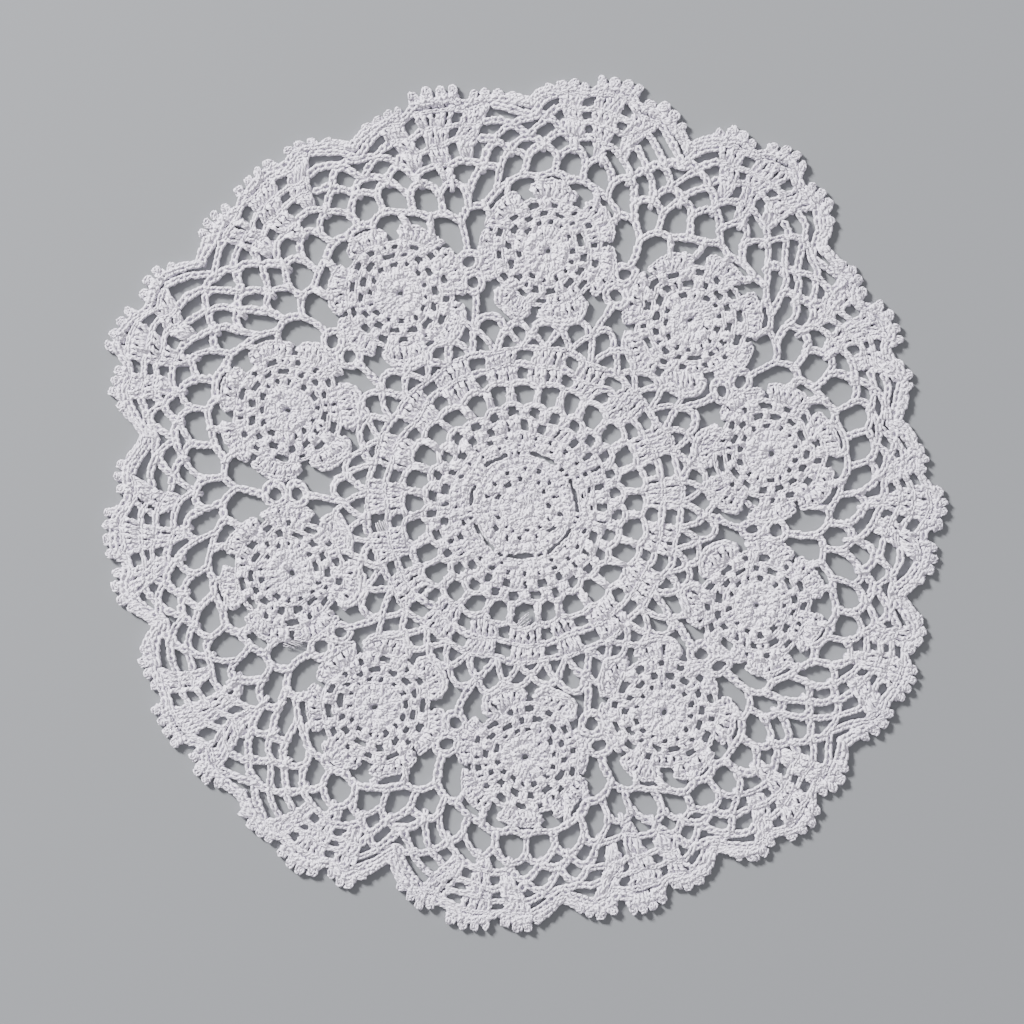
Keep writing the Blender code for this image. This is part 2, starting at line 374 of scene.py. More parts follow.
def cotton(name, light, shade, twisted):
    """White cotton between a light and a shade colour: painted shade in the grooves between plies
    and painted light on their tops, and a tone that drifts at random over the cloth.
    """
    material = bpy.data.materials.new(name)
    material.use_nodes = True
    tree = material.node_tree
    shader = tree.nodes["Principled BSDF"]
    dial(shader, Sheen_Weight=0.25, Sheen_Tint=(*light, 1.0), Sheen_Roughness=0.5)
    dial(shader, Specular_IOR_Level=0.3)
    place = tree.nodes.new("ShaderNodeTexCoord")
    down = tree.nodes.new("ShaderNodeGroup")
    down.node_tree = down_group
    tree.links.new(place.outputs["Object"], down.inputs["Place"])
    relief = down.outputs["Height"]
    tone = down.outputs["Tone"]
    if twisted:
        twist = tree.nodes.new("ShaderNodeGroup")
        twist.node_tree = twist_group
        tree.links.new(place.outputs["UV"], twist.inputs["Thread"])
        ply = twist.outputs["Height"]
        fibre = math_node(tree, "MULTIPLY", relief, DOWN_RELIEF)
        relief = math_node(tree, "ADD", fibre, ply)
        drift = math_node(tree, "MULTIPLY", tone, DRIFT_TONE)
        # Painted shade: the ply height darkens the colour in the grooves and lightens it on the ply
        # tops.
        tone = math_node(tree, "ADD", drift, math_node(tree, "MULTIPLY", ply, PLY_PAINTED_SHADE))
    ramp = tree.nodes.new("ShaderNodeValToRGB")
    for element, stop, colour in zip(ramp.color_ramp.elements, (0.3, 0.62), (shade, light)):
        element.position = stop
        element.color = (*colour, 1.0)
    tree.links.new(tone, ramp.inputs["Fac"])
    tree.links.new(ramp.outputs["Color"], shader.inputs["Base Color"])
    rough = tree.nodes.new("ShaderNodeMapRange")
    dial(rough, To_Min=0.92, To_Max=0.78)
    tree.links.new(tone, rough.inputs["Value"])
    tree.links.new(rough.outputs["Result"], shader.inputs["Roughness"])
    bump = tree.nodes.new("ShaderNodeBump")
    dial(bump, Strength=0.8, Distance=BUMP_DEPTH * MM)
    tree.links.new(relief, bump.inputs["Height"])
    tree.links.new(bump.outputs["Normal"], shader.inputs["Normal"])
    return material


thread_cotton = cotton("white cotton thread", (0.95, 0.9, 1.0), (0.68, 0.64, 0.75), twisted=True)
# The web's two colours are grey, darker than the thread, as painted shade between the strands.
web_painted_shade = cotton("grey web of painted shade", (0.5, 0.48, 0.55), (0.38, 0.365, 0.43), twisted=False)
print("materials:", thread_cotton.name, "and", web_painted_shade.name)

# %% [markdown]
# ## Stitches
# Four stitches make all of the lace: a chain link, a head (the small link along the top edge of a
# close row), a post, and a knot. Each is one to three bent lengths of thread. A curve object for
# each would be slow, so a stitch is a short table of points, and all stitches of a kind are set
# out at once with arrays: stretched from their start to their end, shaken a little, and wrapped
# in a tube of four sides.

# %% Tables of the stitches
# Columns of a strand: its place along the stitch as a share of its length, and across and up in
# millimetres. half: the strand is closed by its own mirror image.
THREAD = 0.72
SIDES = 4
STITCHES = {
    "chain": dict(half=True, thread=0.78, strands=[
        [(-0.38, 0.28, -0.3), (0.16, 0.8, 0.22), (0.72, 0.94, 0.3), (1.06, 0.0, -0.12)],
    ]),
    "head": dict(half=True, thread=0.56, strands=[
        [(-0.35, 0.18, -0.15), (0.15, 0.5, 0.2), (0.66, 0.58, 0.3), (1.05, 0.0, 0.0)],
    ]),
    "post": dict(half=False, thread=THREAD, strands=[
        [(-0.02, 0.48, 0.0), (0.34, 0.46, 0.26), (0.68, -0.42, 0.32), (1.0, -0.48, 0.0)],
        [(-0.02, -0.48, 0.0), (0.34, -0.46, -0.1), (0.68, 0.42, -0.16), (1.0, 0.48, 0.0)],
        [(0.42, -0.78, -0.1), (0.53, -0.3, 0.42), (0.66, 0.3, 0.46), (0.78, 0.78, -0.1)],
    ]),
    "knot": dict(half=False, thread=THREAD, strands=[
        [(0.0, 0.5, 0.1), (0.35, 0.4, 0.4), (0.75, -0.35, 0.4), (1.0, -0.55, 0.0)],
        [(0.0, -0.5, 0.0), (0.35, -0.45, 0.3), (0.75, 0.35, 0.1), (1.0, 0.55, 0.0)],
    ]),
}
MID_HEIGHT = 1.0
SHAKE = 0.11
END_SHAKE = {"chain": 0.13, "head": 0.2, "post": 0.3, "knot": 0.22}
MIRRORED = {"chain": 0.0, "head": 0.0, "post": 0.42, "knot": 0.5}
WIDTH_SPREAD = 0.1
LIFT_SPREAD = 0.12
dice = np.random.default_rng(7)
print("kinds of stitch:", list(STITCHES))


# %% Uneven hand
WAVES = 10
wave_dice = np.random.default_rng(3)
wave_length = wave_dice.uniform(16.0, 34.0, WAVES)
wave_way = wave_dice.uniform(0, 2 * np.pi, WAVES)
wave_start = wave_dice.uniform(0, 2 * np.pi, (WAVES, 2))
WAVE_HEIGHT = 0.22


def uneven(points):
    """Moves points a little by slow waves, as an uneven hand pulls some stitches tighter."""
    ray = np.stack((np.cos(wave_way), np.sin(wave_way)))
    phase = 2 * np.pi * (points[..., :2] @ ray) / wave_length
    moved = points.copy()
    for axis in (0, 1):
        moved[..., axis] += WAVE_HEIGHT * np.sin(phase + wave_start[:, axis]).sum(axis=-1)
    return moved


# %% Tubes of thread
def tubes(paths, radius):
    """Closed tubes round many paths of as many points: corners, faces and a UV for each corner of
    a face. The UV holds the millimetres along the thread and the turn round it."""
    many, count, _ = paths.shape
    ahead = np.gradient(paths, axis=1)
    ahead /= np.linalg.norm(ahead, axis=2, keepdims=True)
    side = np.cross((0.0, 0.0, 1.0), ahead)
    side /= np.linalg.norm(side, axis=2, keepdims=True) + 1e-9
    up = np.cross(ahead, side)
    turn = 2 * np.pi * (np.arange(SIDES) + 0.5) / SIDES
    rays = np.cos(turn)[:, None] * side[:, :, None, :] + np.sin(turn)[:, None] * up[:, :, None, :]
    corners = (paths[:, :, None, :] + radius * rays).reshape(-1, 3)
    index = np.arange(many * count * SIDES).reshape(many, count, SIDES)
    after = np.roll(index, -1, axis=2)
    quads = np.stack((index[:, :-1], after[:, :-1], after[:, 1:], index[:, 1:]), axis=-1)
    caps = np.concatenate((index[:, 0, ::-1], index[:, -1]))
    step = np.linalg.norm(np.diff(paths, axis=1), axis=2)
    length = np.concatenate((np.zeros((many, 1)), np.cumsum(step, axis=1)), axis=1)
    length += dice.uniform(0, 5, (many, 1))
    low = np.repeat(length[:, :-1, None], SIDES, axis=2)
    high = np.repeat(length[:, 1:, None], SIDES, axis=2)
    left = np.broadcast_to(np.arange(SIDES) / SIDES, low.shape)
    right = left + 1 / SIDES
    pairs = ((low, left), (low, right), (high, right), (high, left))
    quad_uv = np.stack([np.stack(pair, axis=-1) for pair in pairs], axis=-2)
    cap_uv = np.zeros((caps.shape[0], SIDES, 2))
    faces = quads.reshape(-1, 4).tolist() + caps.tolist()
    return corners, faces, np.concatenate((quad_uv.reshape(-1, 2), cap_uv.reshape(-1, 2)))


# %% Strands of the stitches
def set_out(kind, rows):
    """The strands of all stitches of a kind, each an array of paths in millimetres."""
    rows = np.array(rows)
    rows[:, 0:4] += dice.normal(0, END_SHAKE[kind], (len(rows), 4))
    start, end = rows[:, None, 0:2], rows[:, None, 2:4]
    wide = rows[:, 4, None] * dice.normal(1, WIDTH_SPREAD, (len(rows), 1))
    wide *= np.where(dice.random((len(rows), 1)) < MIRRORED[kind], -1, 1)
    lift = rows[:, 5, None] + dice.normal(0, LIFT_SPREAD, (len(rows), 1))
    ray = (end - start) / (np.linalg.norm(end - start, axis=2, keepdims=True) + 1e-9)
    side = np.stack((-ray[..., 1], ray[..., 0]), axis=-1)
    result = []
    for strand in STITCHES[kind]["strands"]:
        bends = np.array(strand)
        if STITCHES[kind]["half"]:
            bends = np.concatenate((bends, bends[-2::-1] * (1, -1, 1)))
        flat = start + bends[:, 0, None] * (end - start) + (bends[:, 1] * wide)[..., None] * side
        high = MID_HEIGHT + lift + bends[:, 2]
        paths = np.concatenate((flat, high[..., None]), axis=2)
        result.append(paths + dice.normal(0, SHAKE, paths.shape))
    return result


# %% Meshes from stitches
pieces = []
laid = []
FINER = 4
CORE = 0.85
LOWEST, HIGHEST = 0.02, 2.3


def note(paths, radius):
    """Keeps where thread lies, as places close together, for the web to be cut to."""
    flat = uneven(paths)[..., :2]
    share = np.arange(FINER)[:, None, None, None] / FINER
    between_points = blend(flat[:, :-1], flat[:, 1:], share).reshape(-1, 2)
    laid.append((np.concatenate((between_points, flat[:, -1])), radius))


def finish_piece(name, corners, faces, uv, material):
    """A mesh of thread in metres, at its place on the sheet, riding on the body."""
    mesh = bpy.data.meshes.new(name)
    placed = uneven(np.asarray(corners))
    placed[:, :2] -= MIDDLE
    placed[:, 2] = np.clip(placed[:, 2], LOWEST, HIGHEST)
    mesh.from_pydata((placed * MM).tolist(), [], faces)
    layer = mesh.uv_layers.new(name="thread")
    layer.data.foreach_set("uv", np.asarray(uv).ravel())
    mesh.materials.append(material)
    mesh.shade_smooth()
    piece = bpy.data.objects.new(name, mesh)
    bpy.context.scene.collection.objects.link(piece)
    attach(piece, "root")
    pieces.append(piece)
    triangles = sum(len(face) - 2 for face in faces)
    print(f"{name}: {len(faces)} faces, {triangles} triangles")
    return piece


class Lace:
    """The stitches of one piece, kept by kind until they are made a mesh."""

    def __init__(self, name):
        self.name = name
        self.rows = {kind: [] for kind in STITCHES}

    def put(self, kind, start, end, wide=1.0, lift=0.0):
        self.rows[kind].append((*start, *end, wide, lift))

    def chain(self, points, kind="chain", count=None, wide=1.0, lift=0.0):
        """Links along a rounded line. Without a count they are as long as their kind mostly is."""
        line = rounded(points)
        length = np.linalg.norm(np.diff(line, axis=0), axis=1).sum()
        count = count or max(1, round(length / LINK_LENGTH[kind]))
        spots = even(line, count)
        for start, end in zip(spots, spots[1:]):
            self.put(kind, start, end, wide, lift)

    def posts(self, lows, highs, wide=1.0, lift=0.0):
        """A post from each low point to its high point."""
        for low, high in zip(lows, highs):
            self.put("post", low, high, wide, lift)

    def make(self):
        print(self.name, "stitches:", sum(len(rows) for rows in self.rows.values()))
        corners, faces, uv, first = [], [], [], 0
        for kind, rows in self.rows.items():
            if not rows:
                continue
            ends = np.array(rows)[:, :4].reshape(-1, 2, 2)
            steps = np.linspace(0, 1, FINER + 1)[:, None]
            note(blend(ends[:, :1], ends[:, 1:], steps), CORE)
            thread = STITCHES[kind]["thread"]
            for paths in set_out(kind, rows):
                note(paths, thread)
                part, part_faces, part_uv = tubes(paths, thread)
                faces += [[corner + first for corner in face] for face in part_faces]
                first += len(part)
                corners.append(part)
                uv.append(part_uv)
        uv = np.concatenate(uv)
        return finish_piece(self.name, np.concatenate(corners), faces, uv, thread_cotton)


# %% Lines through points
LINK_LENGTH = {"chain": 2.9, "head": 2.0}
LINE_STEPS = 8


def rounded(points):
    """A rounded line through points, as a Catmull-Rom curve."""
    given = np.asarray(points, dtype=float)
    given = np.vstack((2 * given[0] - given[1], given, 2 * given[-1] - given[-2]))
    share = np.linspace(0, 1, LINE_STEPS, endpoint=False)[:, None]
    runs = []
    for before, low, high, later in zip(given, given[1:], given[2:], given[3:]):
        slope = (high - before) * share
        bend = (2 * before - 5 * low + 4 * high - later) * share**2
        close = (3 * low - before - 3 * high + later) * share**3
        runs.append((2 * low + slope + bend + close) / 2)
    return np.vstack(runs + [given[-2:-1]])


def even(line, count):
    """Points at count equal steps along a line."""
    step = np.linalg.norm(np.diff(line, axis=0), axis=1)
    place = np.concatenate(((0.0,), np.cumsum(step)))
    spots = np.linspace(0, place[-1], count + 1)
    return np.stack([np.interp(spots, place, line[:, axis]) for axis in (0, 1)], axis=1)


def ring(middle, reach, start=0.0, steps=48, wobble=0.0):
    """Points once round a circle, the first one again at the end, each a little off it."""
    turns = [start + 360 * step / steps for step in range(steps)]
    points = [middle + polar(reach + dice.normal(0, wobble), turn) for turn in turns]
    return points + points[:1]


# %% [markdown]
# ## The close centre
# A doily is started in the middle with a tiny ring, and each round is worked into the heads of
# the one before. A close round is a row of posts side by side with a braid of heads on its top
# edge. Where posts stand in groups, an eyelet is left between two groups, and no two eyelets of
# the real doily are alike. One function works any such round, so the centre and the wheels are
# short tables of rounds.

# %% Rounds of posts
POST_WIDTH = 1.9
GROUP_DRIFT = 0.07
EYELET_SPREAD = 0.45
LEAST_EYELET = 0.3
MOST_OPEN = 0.8
FOOT_SPREAD = 0.8
HEAD_WOBBLE = 0.16


def post_round(lace, middle, start, low, high, groups, each, hole=0.0, heads=None, edge=1.0):
    """One round: groups of posts from reach low to high, with heads along the top edge and an
    eyelet of about twice the hole's width between two groups."""
    pitch = 360 / groups
    for number in range(groups):
        mid = start + pitch * (number + dice.normal(0, GROUP_DRIFT))
        eyelet = hole * max(LEAST_EYELET, dice.normal(1, EYELET_SPREAD))
        open_share = 2 * eyelet / (2 * np.pi * (low + high) / 2 / groups)
        spread = pitch * (1 - min(open_share, MOST_OPEN)) / each
        for post in range(each):
            angle = mid + (post - (each - 1) / 2) * spread
            foot = mid + (post - (each - 1) / 2) * spread * (FOOT_SPREAD if hole else 1.0)
            lace.put("post", middle + polar(low, foot), middle + polar(high, angle))
    heads = heads or groups * each
    lace.chain(ring(middle, high, start, wobble=HEAD_WOBBLE), "head", heads, edge, lift=-0.05)


# %% Centre
CENTRE_MIDDLE = np.array((-0.6, -0.4))
CENTRE_ROUNDS = table("start low high groups each hole heads edge", [
    (0, 1.0, 5.0, 14, 1), (6, 5.1, 9.2, 28, 1), (12, 9.3, 12.9, 14, 2, 0.95, 36),
    (25, 13.0, 16.7, 14, 3, 0.85, 46), (0, 23.4, 26.3, 21, 4, 0.5, 78),
    (20, 26.4, 29.8, 28, 3, 0.85, 88, 0.8),
])
# The slits round the centre, each by the angles of its two ends.
SLITS = [(139, 104), (85, 47), (30, -9), (-23, -63), (-75, -110), (-122, -161), (-175, -202)]
SLIT_LOW, SLIT_HIGH = 20.2, 23.4
SLIT_MIDDLE = 22
SLIT_SAG = (0.5, 0.35)
SLIT_WOBBLE = 0.26
SLIT_HEADS = (58, 72)
SLIT_POST_LOW = 16.8
SLIT_POST_TURNS = np.arange(3, 363, 6)


def slit_reach(angle, edge):
    """How far out the lace ends at a slit's lower (edge 0) or upper (edge 1) side."""
    for left, right in SLITS:
        share = ((left - angle) % 360) / (left - right)
        if share < 1:
            return (SLIT_LOW, SLIT_HIGH)[edge] - SLIT_SAG[edge] * np.sin(np.pi * share) ** 0.5
    return (SLIT_LOW, SLIT_HIGH)[edge]


centre = Lace("centre")
centre.chain(ring(CENTRE_MIDDLE, 0.9, steps=12), "head", 4, lift=-0.1)
for row in CENTRE_ROUNDS:
    post_round(centre, CENTRE_MIDDLE, **row)
for edge, count in enumerate(SLIT_HEADS):
    centre.chain([
        CENTRE_MIDDLE + polar(slit_reach(turn, edge) + dice.normal(0, SLIT_WOBBLE), turn)
        for turn in np.linspace(0, 360, 73)
    ], "head", count)
spokes = [("post", turn, SLIT_POST_LOW, slit_reach(turn, 0)) for turn in SLIT_POST_TURNS]
for (_, left), (right, _) in zip(SLITS, SLITS[1:] + [(SLITS[0][0] - 360, 0)]):
    count = max(2, round(np.radians(left - right) * SLIT_MIDDLE / POST_WIDTH))
    spokes += [("knot", turn, SLIT_LOW, SLIT_HIGH) for turn in np.linspace(left, right, count)]
for kind, turn, low, high in spokes:
    centre.put(kind, CENTRE_MIDDLE + polar(low, turn), CENTRE_MIDDLE + polar(high, turn))
centre.make()

# %% [markdown]
# ## Shells, square net and blocks
# Round the centre the lace opens step by step: small shells with a hole between each two, a ring
# of short chain arcs, a ring of square net, and two tall rows of close blocks with gaps between
# them. All lie on circles about the doily's own middle, so they are worked from reaches and
# angles.

# %% Shells
ORIGIN = np.zeros(2)
SHELLS = 28
shells = Lace("shells")
post_round(shells, ORIGIN, 90 + 180 / SHELLS, 29.9, 35.0, SHELLS, 3, hole=1.25, heads=86, edge=0.6)
SHELL_LOW, SHELL_HIGH, SHELL_ARC = 35.2, 39.4, 41.6
# The foot and top of each post of a shell, in degrees from the shell's middle.
SHELL_POSTS = [(-1.6, -2.0), (0.0, 0.0), (1.6, 2.0)]
# The arc from one shell to the next: degrees from the middle of the first, and reach.
HALF_SHELL = 180 / SHELLS
SHELL_LINE = [
    (0.6, SHELL_HIGH), (HALF_SHELL - 2.6, 40.6), (HALF_SHELL, SHELL_ARC),
    (HALF_SHELL + 2.6, 40.6), (2 * HALF_SHELL - 0.6, SHELL_HIGH),
]
for number in range(SHELLS):
    angle = 90 + 360 * number / SHELLS
    for foot, top in SHELL_POSTS:
        shells.put("post", polar(SHELL_LOW, angle + foot), polar(SHELL_HIGH, angle + top), 1.1)
    shells.chain([polar(reach, angle + aside) for aside, reach in SHELL_LINE], wide=0.75)
shells.make()

# %% Square net
SQUARES = 28
SQUARE_LOW, SQUARE_HIGH = 41.6, 48.9
SQUARE_SPLAY = 1.6
# The chain over one square: degrees from its middle, and reach.
HALF_SQUARE = 180 / SQUARES
SQUARE_TOP = [
    (0.5 - HALF_SQUARE, 49.0), (-HALF_SQUARE / 2, 50.2), (0.0, 50.6),
    (HALF_SQUARE / 2, 50.2), (HALF_SQUARE - 0.5, 49.0),
]
square_net = Lace("square_net")
for number in range(SQUARES):
    angle = 90 + 360 * number / SQUARES
    square_net.chain([polar(reach, angle + aside) for aside, reach in SQUARE_TOP], wide=0.75)
    side = 90 + 360 * (number + 0.5) / SQUARES
    for aside in (-0.5, 0.5):
        shift = polar(aside, side + 90)
        foot = polar(SQUARE_LOW, side) + shift * SQUARE_SPLAY
        square_net.put("post", foot, polar(SQUARE_HIGH, side) + shift)
square_net.make()

# %% Blocks
BLOCK_ROWS = [(50.2, 56.8), (57.3, 64.1)]
# Half the width of a wide gap and of a narrow one, in each row.
GAP_HALF = {True: (3.2, 4.6), False: (3.8, 3.9)}
blocks = Lace("blocks")
gap_angles = np.array(BLOCK_GAPS + [BLOCK_GAPS[0] - 360])
for row_number, (low, high) in enumerate(BLOCK_ROWS):
    for number in range(len(BLOCK_GAPS)):
        wide_here = number % 2 == 0
        wide_next = (number + 1) % len(BLOCK_GAPS) % 2 == 0
        mid = (low + high) / 2
        first = gap_angles[number] - np.degrees(GAP_HALF[wide_here][row_number] / mid)
        last = gap_angles[number + 1] + np.degrees(GAP_HALF[wide_next][row_number] / mid)
        count = max(3, round(np.radians(first - last) * mid / POST_WIDTH))
        angles = np.linspace(first, last, count)
        lows, highs = ([polar(reach, angle) for angle in angles] for reach in (low, high))
        blocks.posts(lows, highs, 1.15)
        blocks.chain([polar(high + 0.3, angle) for angle in angles], "head", count, lift=0.15)
        half = GAP_HALF[wide_here][row_number]
        ends = [gap_angles[number] + side * np.degrees(half / mid) for side in (-1, 0, 1)]
        rise = 0.0 if row_number == 1 and not wide_here else 0.5
        blocks.chain([polar(high + lift, angle) for angle, lift in zip(ends, (0, rise, 0))])
blocks.make()

# %% [markdown]
# ## Arches
# Two rounds of chain arches carry the wheels, four arches to a wheel. Each arch of the second
# round spans the tops of two arches of the first. The wheels press them down, so they are lower
# under a wheel than in the valley beside it, where the wheels' strand comes down to an arch's top.

# %% Arches
ARCHES_PER_WHEEL = 4
ARCH_SHIFT = -0.27
ARCH_FOOT = 64.9
ARCH_KNOT = (-0.6, 1.6)
# The tops of the arches of each round, from the one under a wheel to the one before the next.
FIRST_TOPS = [70.2, 72.9, 74.2, 72.9]
SECOND_TOPS = [74.9, 79.2, 79.2, 74.9]
arches = Lace("arches")


def arch_point(place, reach):
    """A point of the arches: places are counted in arches from the top wheel."""
    return polar(reach, wheel_angle(ARCS_PER_WHEEL * (place + ARCH_SHIFT) / ARCHES_PER_WHEEL))


for number in range(ARCHES_PER_WHEEL * len(WHEELS)):
    step = number % ARCHES_PER_WHEEL
    top, after = FIRST_TOPS[step], FIRST_TOPS[(step + 1) % ARCHES_PER_WHEEL]
    peak = SECOND_TOPS[step]
    first = [
        (-0.46, ARCH_FOOT), (-0.27, blend(ARCH_FOOT, top, 0.55)), (0.0, top),
        (0.27, blend(ARCH_FOOT, top, 0.55)), (0.46, ARCH_FOOT),
    ]
    second = [
        (0.06, top + 0.6), (0.2, blend(top, peak, 0.62)), (0.5, peak),
        (0.8, blend(after, peak, 0.62)), (0.94, after + 0.6),
    ]
    for line in (first, second):
        arches.chain([arch_point(number + aside, reach) for aside, reach in line], wide=0.9)
    for place, reach in ((number + 0.5, ARCH_FOOT), (number, top)):
        arches.put("knot", *(arch_point(place, reach + rise) for rise in ARCH_KNOT))
arches.make()

# %% [markdown]
# ## Wheels
# Ten wheels are worked one by one and joined as they are finished. Each starts like the centre,
# opens into two rings of small holes, and ends in seven petals: fans of posts, with a chain over
# the ones that face the middle. All ten come from one function, and the tables and the uneven
# hand keep them from being copies.

# %% One wheel
# The petals of a wheel, by their middle's angle from the outward one, and half their spread.
SIDE_PETAL, INNER_PETAL = 102, 155
PETALS = [
    (0, 19), (53, 20), (SIDE_PETAL, 22), (INNER_PETAL, 20), (-INNER_PETAL, 20),
    (-SIDE_PETAL, 22), (-53, 20),
]
# The chain over an inner petal: reach, and degrees from the petal's middle.
INNER_CHAIN = [(25.5, -19), (29.2, -13), (30.2, 0), (29.2, 13), (25.5, 19)]
WHEEL_ROUNDS = table("start low high groups each hole heads", [
    (0, 1.9, 5.2, 14, 1), (6, 5.3, 9.5, 28, 1), (12, 9.6, 13.4, 14, 2, 1.3, 34),
    (25, 13.5, 17.7, 14, 2, 1.7, 42), (12.9, 17.8, 22.0, 14, 3, 1.4, 54),
])
PETAL_LOW, PETAL_HIGH = 22.3, 27.9
PETAL_POST_PITCH = 5.0
PETAL_ROUND = 1.6
PETAL_ROOM = 4.4
PETAL_WOBBLE = {"foot": 0.4, "top": 0.5}
PETAL_HEAD = 0.4


def petal_reach(number, angle):
    """How far a petal reaches: less where it points to a wheel that stands close."""
    if abs(angle) != SIDE_PETAL:
        return PETAL_HIGH
    other = (number - round(angle / SIDE_PETAL)) % len(WHEELS)
    apart = np.linalg.norm(wheel_middle(other) - wheel_middle(number))
    return min(PETAL_HIGH, apart / 2 - PETAL_ROOM)


def petal(lace, number, angle, spread):
    """A fan of posts with heads over its rounded edge."""
    shares = np.linspace(-1, 1, round(2 * spread / PETAL_POST_PITCH))
    edge = petal_reach(number, angle) - PETAL_ROUND * shares**2
    turns = angle + spread * shares
    lows = [
        wheel_point(
            number, PETAL_LOW + dice.normal(0, PETAL_WOBBLE["foot"]), angle + (spread - 3) * share,
        )
        for share in shares
    ]
    highs = [
        wheel_point(number, far + dice.normal(0, PETAL_WOBBLE["top"]), turn)
        for far, turn in zip(edge, turns)
    ]
    lace.posts(lows, highs, wide=1.15)
    heads = [wheel_point(number, far + PETAL_HEAD, turn) for far, turn in zip(edge, turns)]
    lace.chain(heads, "head", wide=1.3)


def wheel(number):
    lace = Lace(f"wheel_{number + 1:02d}")
    middle = wheel_middle(number)
    outward = WHEELS[number]["angle"] + WHEELS[number]["turn"]
    for row in WHEEL_ROUNDS:
        post_round(lace, middle, **{**row, "start": outward + row["start"]})
    for angle, spread in PETALS:
        petal(lace, number, angle, spread)
    for angle in (INNER_PETAL, -INNER_PETAL):
        line = [wheel_point(number, reach, angle + turn) for reach, turn in INNER_CHAIN]
        lace.chain(line, wide=0.85)
    return lace.make()


wheels = [wheel(number) for number in range(len(WHEELS))]
print("wheels:", len(wheels))

# %% [markdown]
# ## Valleys
# Between two wheels their petals meet at a waist with two small holes in it. A strand of chain
# runs from the waist outwards to the net, and another leans inwards to the top of an arch.

# %% Valleys
valleys = Lace("valleys")
WAIST_RINGS = table("rise along across", [(0.2, 4.1, 4.5), (-8.9, 4.1, 4.3)])
# The strands of a valley, as points' rise above the wheels' middles and how far aside they lie.
VALLEY_STRANDS = [
    [(4.6, 0.0), (10.5, 0.2), (16.8, 0.0)],
    [(-13.2, 0.0), (-18.0, -0.5), (-23.5, -1.8), (-27.4, -2.6)],
]
for number in range(len(WHEELS)):
    for loop in WAIST_RINGS:
        points = []
        for turn in np.radians(np.arange(0, 361, 30) + 90):
            rise = loop["rise"] + loop["along"] * np.sin(turn)
            points.append(valley_point(number, rise, loop["across"] * np.cos(turn)))
        valleys.chain(points, count=9, wide=1.05)
    for line in VALLEY_STRANDS:
        valleys.chain([valley_point(number, *place) for place in line], wide=1.15)
valleys.make()

# %% [markdown]
# ## Open net
# Two rounds of chain arcs run round the wheels, seventy to a round. The second round's legs come
# down together as one strand onto the tops of the first, so the holes are tall and six-sided.

# %% Net round the wheels
# How high an arc of the first round bulges, by its arcs from a wheel.
ARC_BULGE = {0: 1.2, 1: 2.0, 2: 0.9, 3: 2.4}
# Where a strand of the second round splits into two arcs, as a share of the border.
SPLIT = -0.15
NET_WIDE = 1.05
# How far round a wheel, from its line to the middle, each joint of the first round is held, by
# its arcs from the wheel.
NET_FEET = {0.5: 10.0, 1.5: 41.0, 2.5: 62.0}
NET_FOOT_REACH = 26.6
# One arc of each round: arcs from its middle and share of its bulge, or share of the border.
INNER_ARC = [(-0.46, 0.0), (-0.25, 0.6), (0.0, 1.0), (0.25, 0.6), (0.46, 0.0)]
OUTER_ARC = [(0.03, SPLIT), (0.17, -0.05), (0.5, 0.03), (0.83, -0.05), (0.97, SPLIT)]
net_inner = Lace("net_inner")
net_outer = Lace("net_outer")

for arc in range(ARCS):
    bulge = ARC_BULGE[round(from_wheel(arc))]
    inner_arc = [net_point(arc + aside, share * bulge) for aside, share in INNER_ARC]
    net_inner.chain(inner_arc, wide=NET_WIDE)
    joint = net_point(arc + 0.5)
    net_inner.put("knot", net_point(arc + 0.5, -1.5), net_point(arc + 0.5, 1.3))
    if from_wheel(arc + 0.5) < 3:
        number = round((arc + 0.5) / ARCS_PER_WHEEL)
        steps = arc + 0.5 - ARCS_PER_WHEEL * number
        number %= len(WHEELS)
        turn = -np.sign(steps) * NET_FEET[abs(steps)] - WHEELS[number]["turn"]
        foot = wheel_point(number, NET_FOOT_REACH, turn)
        ray = (joint - foot) / np.linalg.norm(joint - foot)
        for aside in (-0.55, 0.55):
            shift = aside * np.array((-ray[1], ray[0]))
            net_inner.put("post", foot + shift, joint + shift)
    net_outer.chain([net_point(arc, bulge), border_point(arc, SPLIT)], wide=NET_WIDE)
    net_outer.put("knot", border_point(arc, SPLIT - 0.06), border_point(arc, SPLIT + 0.08), 1.3)
    net_outer.put("knot", border_point(arc + 0.5, -0.06), border_point(arc + 0.5, 0.1), 1.2)
    outer_arc = [border_point(arc + aside, share) for aside, share in OUTER_ARC]
    net_outer.chain(outer_arc, wide=NET_WIDE)
net_inner.make()
net_outer.make()

# %% [markdown]
# ## Border
# Fourteen scallops edge the doily. Each has three fans of posts, four rows high, that grow out of
# one stitch and lean apart, with small square holes between them. Chain arcs fill the valleys
# between scallops, one arc fewer in each row, and the last row is a line of picots: tiny rings of
# chain. A place in a scallop is given by its arcs after the notch and its share of the way from
# the net to the rim, which keeps the rows in step with the uneven rim.

# %% Tables of the border
ROW_SHARES = [0.19, 0.40, 0.56, 0.76]
# Columns: the left and right edge of each fan on each row's line, in arcs after the notch.
FAN_EDGES = [
    [(1.38, 1.60), (1.20, 1.67), (1.05, 1.55), (0.85, 1.48)],
    [(2.10, 2.50), (2.01, 2.57), (1.98, 2.67), (1.95, 2.81)],
    [(3.02, 3.24), (2.95, 3.42), (3.10, 3.60), (3.26, 3.92)],
]
FAN_PITCH = 2.5
# The chain arcs between two scallops: the middle of each, and its foot and rise as shares.
VALLEY_ARCS = [
    (-1, 0.05, 0.18), (0, 0.05, 0.18), (1, 0.05, 0.18), (-0.5, 0.27, 0.18), (0.5, 0.27, 0.18),
    (0, 0.49, 0.16),
]
# One arc of these: arcs from its middle and share of its rise.
VALLEY_ARC = [(-0.47, 0.0), (-0.25, 0.67), (0.0, 1.0), (0.25, 0.67), (0.47, 0.0)]
